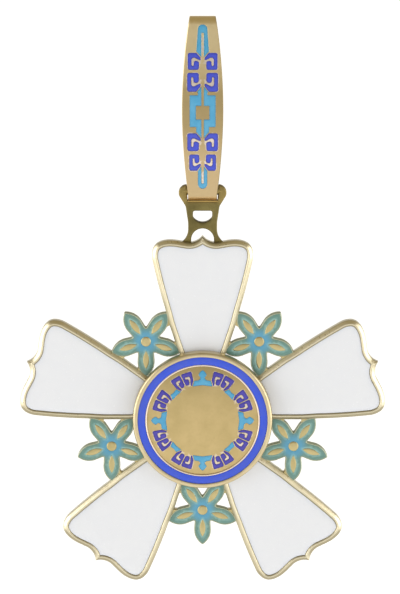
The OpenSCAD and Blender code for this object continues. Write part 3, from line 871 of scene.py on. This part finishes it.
def makeMedallion():
    m, post, e = medalShape, postShape, ringEnamel
    radius, top, seat, stem = m["radius"], m["top"], m["seat"], post["radius"]
    groove = radius - m["rimWidth"]
    wire = groove - m["ringWidth"]
    field = wire - m["wireWidth"]
    ball = (field ** 2 + m["dome"] ** 2) / (2 * m["dome"])
    low = top - m["cell"]
    floor = low - m["floor"]

    def lift(p, depth):
        dome = m["dome"] - ball + sqrt(ball ** 2 - p.length_squared)
        return (p.x, p.y, top - m["fieldDrop"] + dome - depth)

    rim = [(stem, seat), (radius - m["chamfer"], seat), (radius, seat + m["chamfer"])]
    rim += [(radius - x, top - y) for x, y in m["rimOutside"]]
    rim += [(groove + x, top - y) for x, y in m["rimInside"]]
    rim += [(groove, low), (wire, low), (wire, floor), (stem, floor)]
    line = [(wire - x, top - y) for x, y in m["wireTop"]]
    line = [(wire, low - m["wireSunk"])] + line + [(field, low - m["wireSunk"])]
    head = [(0.0, seat + post["sunk"]), (stem, seat + post["sunk"]), (stem, post["headEdge"][0][1])]
    head += [(post["head"] - x, y) for x, y in post["headEdge"]] + [(0.0, -post["headThick"])]
    for name, profile, middle, steps, look, sharp in (
            ("medallionRim", rim, stem, m["steps"], "medallion", m["sharp"]),
            ("medallionWire", line, field, m["steps"], "wire", m["sharp"]),
            ("medallionPost", head, stem, post["steps"], "medallion", softAngle)):
        settleGilt(turnedOnLathe(name, profile, middle, steps, gilt[look], sharp), "medallion")

    scrolls, ornaments = fieldCells()
    border = circle(field - m["play"], m["borderSteps"])
    bm = bmesh.new()
    addPlate(bm, border, cellOutlines(scrolls + ornaments), len(scrolls), [], lift)
    addLoft(bm, [[lift(p, 0) for p in border], [lift(p, m["cell"]) for p in border]], None, False, True)
    settleGilt(pieceFrom("medallionField", bm, starPlace, gilt["field"], m["sharp"]), "medallion")

    for name, outlines, material, slot, node in (
            ("fieldScrolls", scrolls, "violet", "violet_blue_enamel", "field_scrolls"),
            ("fieldOrnaments", ornaments, "turquoise", "turquoise_enamel", "field_ornaments")):
        bm = enamels(outlines[:len(outlines) // 4], lift, fieldEnamel)
        settle(roundMiddle(name, bm, 4, 0, enamel[material]), "badge", slot, node)

    near, far, under = wire + e["play"], groove - e["play"], low + e["play"]
    shares = [i / e["steps"] for i in range(e["steps"] + 1)]
    bow = [(far - (far - near) * t, top - e["sink"] - e["crown"] * (2 * t - 1) ** 2) for t in shares]
    profile = [(far, under), (near, under)] + bow[::-1]
    ring = turnedOnLathe("ringEnamel", profile, wire, m["steps"], enamel["blue"])
    settle(ring, "badge", "deep_blue_enamel", "ring_enamel")


makeMedallion()
print("medallion made")


# Ribbon loop

loopShape = dict(
    height=29.85, width=6.62, topWidth=4.2, topTaper=2, lowWidth=4.4, lowTaper=1.8, straightBelow=-13.8,
    depth=7.0, band=0.8, endRadius=1.7, edgeRadius=0.12, edgeSteps=4, rightEdgeShade=0.85, line=0.36,
    lineShine=0.05, frontSteps=60, bendSteps=20, sharp=28)
loopEnamel = dict(play=0.01, step=0.24, rim=0.06, fade=0.08, fall=0.10, crown=0.04, sink=0.04, depth=0.33,
                  side=0.2)
# Rows of scrolls: tail edge and middle edge as shares of the height, half width as a share of the width
loopRows = [(0.190, 0.279, 0.362), (0.395, 0.295, 0.374), (0.619, 0.716, 0.372), (0.825, 0.735, 0.325)]
# Turquoise bars: shares for the round end's centre and half width, the half width at the row and the line's
# end; then the row that the bar meets, and whether its round end points up or down
loopBars = [(0.067, 0.118, 0.156, 0.085, loopRows[0], 1), (0.901, 0.114, 0.114, 0.897, loopRows[3], -1)]
barSteps = 6
plateShape = dict(top=0.414, end=0.585, half=0.316, holeTop=0.471, holeEnd=0.544, holeHalf=0.161,
                  neck=0.116, foot=0.158)


def loopHalf(z):
    s = loopShape
    z = max(z, s["straightBelow"])
    endWidth, taper = (s["topWidth"], s["topTaper"]) if z > 0 else (s["lowWidth"], s["lowTaper"])
    return (s["width"] - (s["width"] - endWidth) * min(1, abs(z) * 2 / s["height"]) ** taper) / 2


def down(share):
    return loopShape["height"] * (0.5 - share)


def loopScroll(row):
    tail, mid, half = row
    line = loopShape["line"] / 2
    reach = half * loopShape["width"] - line
    return [Vector((line + out * reach, down(tail + across * (mid - tail)))) for across, out in scrollShape]


def betweenTails(row):  # where a turquoise bar runs in between the tails of a row's two scrolls
    points = loopScroll(row)
    a, b = points[0], points[-1]
    way = 1 if row[1] > row[0] else -1
    wall = Vector((b.y - a.y, a.x - b.x)).normalized() * tailWall * way
    a, b = a + wall, b + wall
    k = (a.x - loopShape["line"] / 2) / (a.x - b.x)
    return [a + k * (b - a), a]


def barOutline(roundCentre, roundHalf, rowHalf, lineEnd, row, way):
    width = loopShape["width"]
    ends = betweenTails(row)
    rowY = down(row[0]) + way * tailWall
    side = vectors((loopShape["line"] / 2, down(lineEnd))) + ends
    side += vectors((ends[1].x, rowY), (rowHalf * width, rowY))
    radius = roundHalf * width
    for i in range(barSteps + 1):
        a = radians(90 * (1 - i / barSteps))
        side.append(Vector((radius * sin(a), down(roundCentre) + way * radius * cos(a))))
    side[-1].x = 0
    return anticlockwise(side + mirrored(side)[1:])


def plateOutline():
    p, line = plateShape, loopShape["line"] / 2
    half, hole, neck, foot = (p[name] * loopShape["width"] for name in ("half", "holeHalf", "neck", "foot"))
    top, end, holeTop, holeEnd = (down(p[name]) for name in ("top", "end", "holeTop", "holeEnd"))
    upper, lower = betweenTails(loopRows[1]), betweenTails(loopRows[2])
    upperY, lowerY = down(loopRows[1][0]) - tailWall, down(loopRows[2][0]) + tailWall
    outside = vectors((upper[1].x, upperY), (neck, upperY), (neck, top), (half, top), (half, end),
                      (foot, end), (foot, lowerY), (lower[1].x, lowerY))
    notch = vectors((line, holeEnd), (hole, holeEnd), (hole, holeTop), (line, holeTop))
    return anticlockwise(upper + outside + lower[::-1] + notch)


def makeLoop():
    s = loopShape
    small, front = s["endRadius"], s["frontSteps"]
    bend, rise = s["height"] / 2 - small, s["depth"] / 2 - small
    off = (bend ** 2 - rise ** 2) / (2 * rise)
    long = off + s["depth"] / 2
    turn = degrees(atan2(off, bend))
    path = []  # points of the band's outside and the ways out of it, from the top, down the front and up
    for centre, radius, start, end, steps in (
            ((off, 0), long, turn, 180 - turn, front),
            ((0, -bend), small, 180 - turn, 180 + turn, s["bendSteps"]),
            ((-off, 0), long, 180 + turn, 360 - turn, front),
            ((0, bend), small, -turn, turn, s["bendSteps"])):
        for i in range(steps):
            n = polar(-(start + (end - start) * i / steps), 1)
            path.append((Vector(centre) + radius * n, n))

    edge, thick = s["edgeRadius"], s["band"]
    angles = [radians(90 * i / s["edgeSteps"]) for i in range(s["edgeSteps"] + 1)]
    corner = [(edge * (1 - sin(a)), edge * (1 - cos(a))) for a in angles]
    rightSide = corner + [(x, thick - d) for x, d in reversed(corner)]
    section = [(1, x, d) for x, d in rightSide] + [(-1, x, d) for x, d in reversed(rightSide)]

    def placeOf(point, n, side, inwards, depth):
        inner = point - n * depth
        return (side * (loopHalf(point.y) - inwards), inner.x, inner.y)

    bm = bmesh.new()
    paintedShading = vertexLayer(bm, "paintedShading")
    rows = [[bm.verts.new(placeOf(*at, *part)) for part in section] for at in path]
    for row in rows:
        for v, (side, inwards, depth) in zip(row, section):
            # Painted shade: the band's right edge is darker than its left.
            v[paintedShading] = s["rightEdgeShade"] if side > 0 and inwards < edge else 0
    last = len(section) - 1
    for i, (row, following) in enumerate(sides(rows)):
        for j in range(last if i < front else last + 1):  # the front face is cut into cells below
            k = (j + 1) % len(section)
            bm.faces.new((row[j], row[k], following[k], following[j]))

    def lift(p, depth):
        y = off - sqrt(long ** 2 - p.y ** 2)
        n = Vector((y - off, p.y)).normalized()
        return (p.x, y - n.x * depth, p.y)

    right = [Vector((loopHalf(point.y) - edge, point.y)) for point, _ in path[:front + 1]]
    scrolls = [anticlockwise(scroll) for row in loopRows
               for scroll in (loopScroll(row), mirrored(loopScroll(row)))]
    plate = plateOutline()
    bars = [barOutline(*bar) for bar in loopBars] + [plate, anticlockwise(mirrored(plate))]
    # Painted highlight: paler metal along the middle line where the bars run.
    shining = []
    for _, _, _, lineEnd, row, _ in loopBars:
        x, start, end = s["line"] / 2 + s["lineShine"], down(lineEnd), down(row[0])
        shining.append(vectors((-x, start), (x, start), (x, end), (-x, end)))
    border = anticlockwise(right + mirrored(right))
    addPlate(bm, border, cellOutlines(scrolls + bars), len(scrolls), shining, lift)
    band = pieceFrom("loopBand", bm, loopPlace, gilt["loop"], s["sharp"])
    settle(band, "loop", "silver_gilt", "ribbon_loop")

    for name, outlines, material, slot, node in (
            ("loopScrolls", scrolls, "loopBlue", "violet_blue_enamel", "loop_scrolls"),
            ("loopBars", bars, "turquoise", "turquoise_enamel", "loop_bars")):
        bm = enamels(outlines, lift, loopEnamel)
        settle(pieceFrom(name, bm, loopPlace, enamel[material]), "loop", slot, node)


makeLoop()
print("loop made")


# Link between the loop and the star

linkShape = dict(
    eyeTop=2.6, eyeBottom=2.43, eyeLow=-1.78, earRadius=1.3, earX=2.57, earY=-0.39, earStart=-40, neck=2.75,
    neckY=-2.57, waist=2.35, windowLow=-5.22, windowTop=-3.32, windowHalf=1.55, windowSoft=0.35,
    windowSide=0.3, flareTop=-6.495, feet=3.5, low=-8.62, arch=1.85, archLeg=0.55, sunk=0.1, soft=0.18,
    side=0.35, step=0.5, clear=0.2, thick=1.5, footRise=1.3, footThin=0.95, sharp=35,
    # bevel: inwards, depth, and painted shade darkening the link's edges
    bevel=[(0.0, 0.22, 0.3), (0.01, 0.15, 0.35), (0.04, 0.08, 0.3), (0.09, 0.03, 0.15), (0.16, 0.0, 0)])
pinShape = dict(radius=0.78, past=0.5, steps=40)
# The bar under the loop is hollowed to the loop's bend, from straight below it out to a lip
lipShape = dict(bend=1.79, angles=(-90, -84, -78, -72, -67), height=-1.62, past=0.02, under=0.05)


def linkOutlines():
    s = linkShape
    flare = s["feet"] - s["waist"]
    rise = s["flareTop"] - s["low"]
    flareRadius = (flare ** 2 + rise ** 2) / (2 * flare)
    flareEnd = degrees(asin(rise / flareRadius))
    cut = degrees(acos((s["eyeTop"] - s["earX"]) / s["earRadius"]))
    foot = s["low"] - s["sunk"]
    half = vectors((s["arch"], foot), (s["feet"], foot))
    half += arc((s["waist"] + flareRadius, s["flareTop"]), flareRadius, 180, 180 + flareEnd, 8)[::-1]
    half += vectors((s["waist"], s["windowLow"]), (s["neck"], s["neckY"]))
    half += arc((s["earX"], s["earY"]), s["earRadius"], s["earStart"], cut, 14)
    half += vectors((s["eyeBottom"], s["eyeLow"]))
    arch = arc((0, s["low"] + s["archLeg"]), s["arch"], 180, 0, 24)
    sweep = degrees(acos(s["windowHalf"] / s["arch"]))
    window = arc((0, s["windowLow"] + s["arch"]), s["arch"], 180 + sweep, 360 - sweep, 12)
    window += vectors((s["windowHalf"], s["windowTop"]), (-s["windowHalf"], s["windowTop"]))
    return anticlockwise(half + mirrored(half) + arch), anticlockwise(window)


def makeLink():
    s, pin, lip = linkShape, pinShape, lipShape
    outer, window = linkOutlines()
    outer = dense(softened(outer, s["soft"]), s["side"])
    window = dense(softened(window, s["windowSoft"], 4), s["windowSide"])
    half = s["thick"] / 2
    # The bevel rings carry painted shade, darker towards the edges.
    bevel = [(0.0, half, 0.2)] + s["bevel"]
    width = bevel[-1][0]
    plate = bmesh.new()
    for way in (1, -1):
        def lift(p, depth):  # the feet are thinner in front, so that they meet the arm behind its rim
            share = (s["low"] + s["footRise"] - p.y) / s["footRise"]
            foot = max(0.0, min(1.0, share)) if way > 0 else 0.0
            return (p.x, p.y, way * (half - depth) * (1 - s["footThin"] * foot))

        top, gap = inset(outer, width), inset(window, -width)
        corners, triangles = filled(top, [gap], gridInside(top, [gap], s["step"], s["clear"])[0])
        addFaces(plate, [lift(p, 0) for p in corners], triangles)
        addSteps(plate, outer, lift, bevel, False, False)
        addSteps(plate, window, lift, [(-x, depth, paintedShading) for x, depth, paintedShading in bevel], False, False)

    bar = bmesh.new()
    reach = s["eyeTop"] + pin["past"]
    ends = circle(pin["radius"], pin["steps"])
    addLoft(bar, [[(x, q.x, q.y) for q in ends] for x in (-reach, -reach / 2, 0, reach / 2, reach)])

    lips = bmesh.new()
    low, across = s["eyeLow"] - lip["under"], s["eyeBottom"] + lip["past"]
    for way in (1, -1):  # at the front and at the back
        hollow = [polar(90 - a, lip["bend"]) for a in lip["angles"]]
        edge = [(q.x, q.y) for q in hollow] + [(half, lip["height"]), (half, low), (0.0, low)]
        addLoft(lips, [[(x, z, way * y) for y, z in edge] for x in (-across, across)])
    for name, bm, look, sharp in (
            ("linkPlate", plate, "link", s["sharp"]), ("linkPin", bar, "link", softAngle),
            ("linkLips", lips, "lip", softAngle)):
        settleGilt(pieceFrom(name, bm, linkPlace, gilt[look], sharp))


makeLink()
print("link made")


# Floor, light and camera

stageLook = dict(floorDepth=250, floorSize=40000, white=(0.5, 0.5, 0.5), glow=0.85, rough=0.9)
lightLook = dict(
    aim=0.75,  # the height that the panels face, as a share of the star's
    left=dict(at=(-0.78, -0.20, 0.02), size=0.9, power=5.6, colour=(1.0, 0.98, 0.95)),
    right=dict(at=(0.78, -0.20, 0.0), size=0.9, power=5.2, colour=(1.0, 0.98, 0.95)),
)
worldLook = dict(horizon=(0.68, 0.68, 0.68), top=(0.40, 0.34, 0.21), right=0.12, up=1.0, low=0.25, high=0.8,
                 strength=1.0)
cameraLook = dict(elevation=11, distance=420, tall=97.0, middleX=-0.42, middleZ=-45.0, sensor=24,
                  clipEnd=100)


def makeStage():
    s = stageLook
    mesh = bpy.data.meshes.new("floor")
    half, z = s["floorSize"] * mm / 2, -s["floorDepth"] * mm
    mesh.from_pydata([(x * half, y * half, z) for x, y in ((-1, -1), (1, -1), (1, 1), (-1, 1))],
                     [], [(0, 1, 2, 3)])
    floor = linked("floor", mesh)
    material, _, shader, _ = newMaterial("palePaper")
    setAll(shader, {"Base Color": (*s["white"], 1), "Roughness": s["rough"],
                    "Emission Color": (1, 1, 1, 1), "Emission Strength": s["glow"]})
    mesh.materials.append(material)


def makeLights():
    target = Vector((0, 0, starZ * mm * lightLook["aim"]))
    for name in ("left", "right"):
        look = lightLook[name]
        lamp = bpy.data.lights.new(name + "Panel", "AREA")
        lamp.size = look["size"]
        lamp.energy = look["power"]
        lamp.color = look["colour"]
        holder = linked(name + "Panel", lamp)
        holder.location = look["at"]
        holder.rotation_euler = (Vector(look["at"]) - target).to_track_quat("Z", "Y").to_euler()
    world = bpy.data.worlds.new("studio")
    scene.world = world
    world.use_nodes = True
    tree = world.node_tree
    way = parted(tree, tree.nodes.new("ShaderNodeTexCoord").outputs["Generated"])
    right, up = (mathNode(tree, "MULTIPLY", way[axis], worldLook[share])
                 for axis, share in (("X", "right"), ("Z", "up")))
    height = ramp(tree, mathNode(tree, "ADD", right, up), 0, 1, worldLook["low"], worldLook["high"])
    background = tree.nodes["Background"].inputs
    tree.links.new(mixed(tree, height, worldLook["horizon"], worldLook["top"]), background["Color"])
    background["Strength"].default_value = worldLook["strength"]


def makeCamera():
    c = cameraLook
    lens = bpy.data.cameras.new("camera")
    lens.sensor_fit = "VERTICAL"
    lens.sensor_height = c["sensor"]
    lens.lens = c["sensor"] / 2 / (c["tall"] / 2 / c["distance"])
    lens.clip_end = c["clipEnd"]
    holder = linked("camera", lens)
    tilt = radians(c["elevation"])
    target = Vector((c["middleX"], 0, c["middleZ"])) * mm
    holder.location = target + Vector((0, -cos(tilt), sin(tilt))) * c["distance"] * mm
    holder.rotation_euler = (pi / 2 - tilt, 0, 0)
    scene.camera = holder


makeStage()
makeLights()
makeCamera()
scene.view_settings.view_transform = "Standard"
print("stage, lights and camera made")
